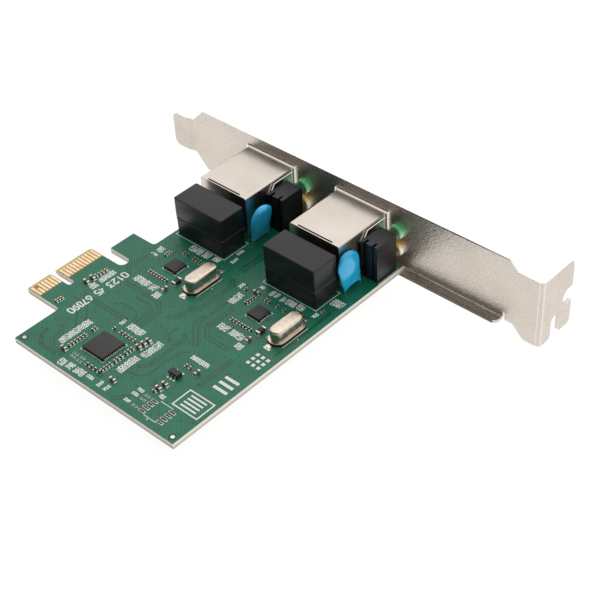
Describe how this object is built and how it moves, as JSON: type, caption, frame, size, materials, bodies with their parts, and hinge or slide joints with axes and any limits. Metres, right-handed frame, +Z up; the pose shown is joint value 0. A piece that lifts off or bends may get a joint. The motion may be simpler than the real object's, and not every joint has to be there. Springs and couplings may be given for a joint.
{
  "type": "network interface card",
  "caption": "expansion card with an edge connector, two shielded network ports with lamps, line transformers and a full-height slot bracket",
  "frame": {"origin": "on the component surface of the board, at the tip edge of the edge connector and the middle of its key notch", "axes": "X along the bracket from its slot tongue to its fixing tab, Y from the board towards the outside of the bracket, Z up from the component side"},
  "size_m": [0.12, 0.0917, 0.0216],
  "materials": {
    "laminate": "green solder mask over glass laminate, satin",
    "gold_plating": "gold plated copper alloy",
    "plated_sheet_steel": "satin plated sheet steel",
    "screw_steel": "zinc plated",
    "nickel_plated_sheet": "bright nickel plated sheet",
    "black_moulding": "moulded, fine grain",
    "black_epoxy": "moulded, satin gloss",
    "tinned_wire": "tin plated",
    "green_resin": "clear tinted resin",
    "amber_resin": "clear tinted resin",
    "blue_coating": "glossy dipped coating",
    "crystal_metal": "drawn nickel silver can",
    "chip_compound": "moulded compound",
    "ceramic": "fired ceramic",
    "resistor_glaze": "dark glaze"
  },
  "bodies": {
    "root": {"circuit_board": "laminate", "edge_contacts_component_side": "gold_plating", "edge_contacts_solder_side": "gold_plating", "slot_bracket": "plated_sheet_steel", "bracket_screws": "screw_steel", "port_shield_1": "nickel_plated_sheet", "port_shield_2": "nickel_plated_sheet", "port_body_1": "black_moulding", "port_body_2": "black_moulding", "port_contacts_1": "gold_plating", "port_contacts_2": "gold_plating", "transformer_cover_1": "black_epoxy", "transformer_cover_2": "black_epoxy", "transformer_base_1": "black_epoxy", "transformer_base_2": "black_epoxy", "transformer_pins_1": "tinned_wire", "transformer_pins_2": "tinned_wire", "lamp_holder_1": "black_moulding", "lamp_holder_2": "black_moulding", "lamp_leads_1": "tinned_wire", "lamp_leads_2": "tinned_wire", "green_lamp_1": "green_resin", "green_lamp_2": "green_resin", "amber_lamp_1": "amber_resin", "amber_lamp_2": "amber_resin", "disc_capacitor_1": "blue_coating", "disc_capacitor_2": "blue_coating", "disc_capacitor_leads_1": "tinned_wire", "disc_capacitor_leads_2": "tinned_wire", "crystal_base_1": "black_moulding", "crystal_base_2": "black_moulding", "crystal_terminals_1": "tinned_wire", "crystal_terminals_2": "tinned_wire", "crystal_can_1": "crystal_metal", "crystal_can_2": "crystal_metal", "bridge_chip": "chip_compound", "bridge_chip_contacts": "tinned_wire", "controller_chip_1": "chip_compound", "controller_chip_2": "chip_compound", "controller_chip_contacts_1": "tinned_wire", "controller_chip_contacts_2": "tinned_wire", "regulator": "chip_compound", "regulator_leads": "tinned_wire", "edge_capacitors": "ceramic", "bridge_capacitors": "ceramic", "bridge_resistors": "resistor_glaze", "controller_1_capacitors": "ceramic", "controller_1_resistors": "resistor_glaze", "controller_2_capacitors": "ceramic", "controller_2_resistors": "resistor_glaze", "regulator_capacitors": "ceramic", "supply_chokes": "chip_compound", "chip_end_terminals": "tinned_wire"}
  },
  "joints": []
}
